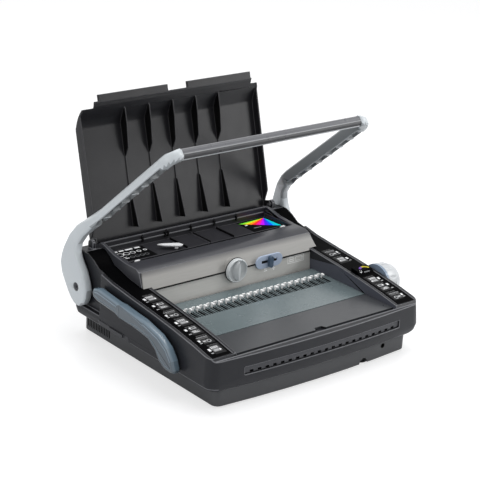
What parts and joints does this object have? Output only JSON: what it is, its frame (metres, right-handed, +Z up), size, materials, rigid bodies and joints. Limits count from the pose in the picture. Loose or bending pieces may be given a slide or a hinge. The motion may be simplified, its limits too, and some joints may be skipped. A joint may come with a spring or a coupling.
{
  "type": "binding machine",
  "caption": "Desktop binding machine with a long punching handle, comb opener, wire closing channel, hinged lid, storage tray and chip drawer.",
  "frame": {"origin": "centre of the bounding box's footprint, on the surface that the feet stand on", "axes": "+X to the machine's right as its user faces it, +Y to its back, +Z up"},
  "size_m": [0.4736, 0.4124, 0.371],
  "materials": {
    "base_plastic": "fine grain, dark grey",
    "foot_rubber": "matt black",
    "casing_plastic": "satin charcoal",
    "deck_plastic": "satin blue grey",
    "flap_plastic": "satin grey",
    "label_plastic": "glossy black",
    "fascia_plastic": "warm light grey",
    "housing_plastic": "satin dark grey",
    "white_plastic": "white",
    "arm_plastic": "light cool grey, satin",
    "lever_plastic": "blue grey",
    "knob_plastic": "near white",
    "pale_plastic": "pale blue",
    "slider_plastic": "deep blue",
    "steel": "plain"
  },
  "bodies": {
    "casing": {"base_pan": "base_plastic", "foot_1": "foot_rubber", "foot_2": "foot_rubber", "foot_3": "foot_rubber", "foot_4": "foot_rubber", "base_screw_1": "steel", "base_screw_2": "steel", "base_screw_3": "steel", "base_screw_4": "steel", "main_casing": "casing_plastic", "deck_plate": "deck_plastic", "right_label_strip": "label_plastic", "left_label_strip": "label_plastic", "size_gauge": "white_plastic", "lower_fascia": "fascia_plastic", "upper_fascia": "fascia_plastic", "rear_housing": "housing_plastic", "storage_tray": "housing_plastic", "tray_clip_left": "white_plastic", "tray_clip_right": "white_plastic", "tray_finger": "white_plastic", "slot_strip": "label_plastic", "punch_guide_plate": "steel", "punch_die_plate": "steel", "paper_stop": "steel", "comb_posts": "white_plastic", "closer_ring": "pale_plastic", "closer_bed": "steel", "selector_bezel": "pale_plastic"},
    "handle": {"right_arm": "arm_plastic", "left_arm": "arm_plastic", "handle_grip": "casing_plastic", "grip_rod": "steel", "handle_shaft": "steel", "right_pivot_screw": "housing_plastic", "left_pivot_screw": "housing_plastic", "right_crank": "steel", "left_crank": "steel"},
    "punch": {"punch_pin_bar": "steel", "right_draw_bar": "steel", "left_draw_bar": "steel"},
    "lid": {"lid": "casing_plastic"},
    "front_flap": {"front_flap": "flap_plastic"},
    "comb_lever": {"comb_lever_hub": "lever_plastic", "comb_lever_handle": "lever_plastic", "lever_shaft": "steel", "lever_crank": "steel"},
    "rake": {"comb_rake": "white_plastic", "rake_link": "steel"},
    "closer": {"closer_knob": "knob_plastic", "closer_shaft": "steel", "closer_crank": "steel"},
    "closing_bar": {"wire_closing_bar": "steel", "closer_link": "steel"},
    "margin": {"margin_knob": "knob_plastic", "margin_spindle": "steel"},
    "selector": {"selector_slider": "slider_plastic"},
    "drawer": {"chip_drawer": "base_plastic"}
  },
  "joints": [
    {"name": "handle_hinge", "type": "hinge", "parent": "casing", "child": "handle", "pos_m": [-0.0092, 0.1342, 0.086], "axis": [1, 0, 0], "range_deg": [0, 50]},
    {"name": "punch_slide", "type": "slide", "parent": "casing", "child": "punch", "axis": [0, 1, 0], "range_m": [0, 0.0097]},
    {"name": "lid_hinge", "type": "hinge", "parent": "casing", "child": "lid", "pos_m": [-0.0092, 0.1462, 0.147], "axis": [1, 0, 0], "range_deg": [0, 105]},
    {"name": "flap_hinge", "type": "hinge", "parent": "casing", "child": "front_flap", "pos_m": [-0.0092, -0.121, 0.078], "axis": [-1, 0, 0], "range_deg": [0, 100]},
    {"name": "comb_lever_hinge", "type": "hinge", "parent": "casing", "child": "comb_lever", "pos_m": [-0.2292, 0.0702, 0.096], "axis": [-1, 0, 0], "range_deg": [0, 65]},
    {"name": "rake_slide", "type": "slide", "parent": "casing", "child": "rake", "axis": [0, -1, 0], "range_m": [0, 0.0179]},
    {"name": "closer_hinge", "type": "hinge", "parent": "casing", "child": "closer", "pos_m": [0.2168, -0.0908, 0.079], "axis": [-1, 0, 0], "range_deg": [0, 60]},
    {"name": "closing_slide", "type": "slide", "parent": "casing", "child": "closing_bar", "axis": [0, -1, 0], "range_m": [0, 0.0084]},
    {"name": "margin_hinge", "type": "hinge", "parent": "casing", "child": "margin", "pos_m": [-0.0102, 0.0082, 0.11], "axis": [0, 1, 0], "range_deg": [-60, 60]},
    {"name": "selector_slide", "type": "slide", "parent": "casing", "child": "selector", "axis": [1, 0, 0], "range_m": [-0.012, 0.012]},
    {"name": "drawer_slide", "type": "slide", "parent": "casing", "child": "drawer", "axis": [-1, 0, 0], "range_m": [0, 0.15]}
  ],
  "couplings": [
    {"joint": "punch_slide", "follows": "handle_hinge", "m_per_rad": 0.011001},
    {"joint": "rake_slide", "follows": "comb_lever_hinge", "m_per_rad": 0.01569},
    {"joint": "closing_slide", "follows": "closer_hinge", "m_per_rad": 0.007926}
  ]
}
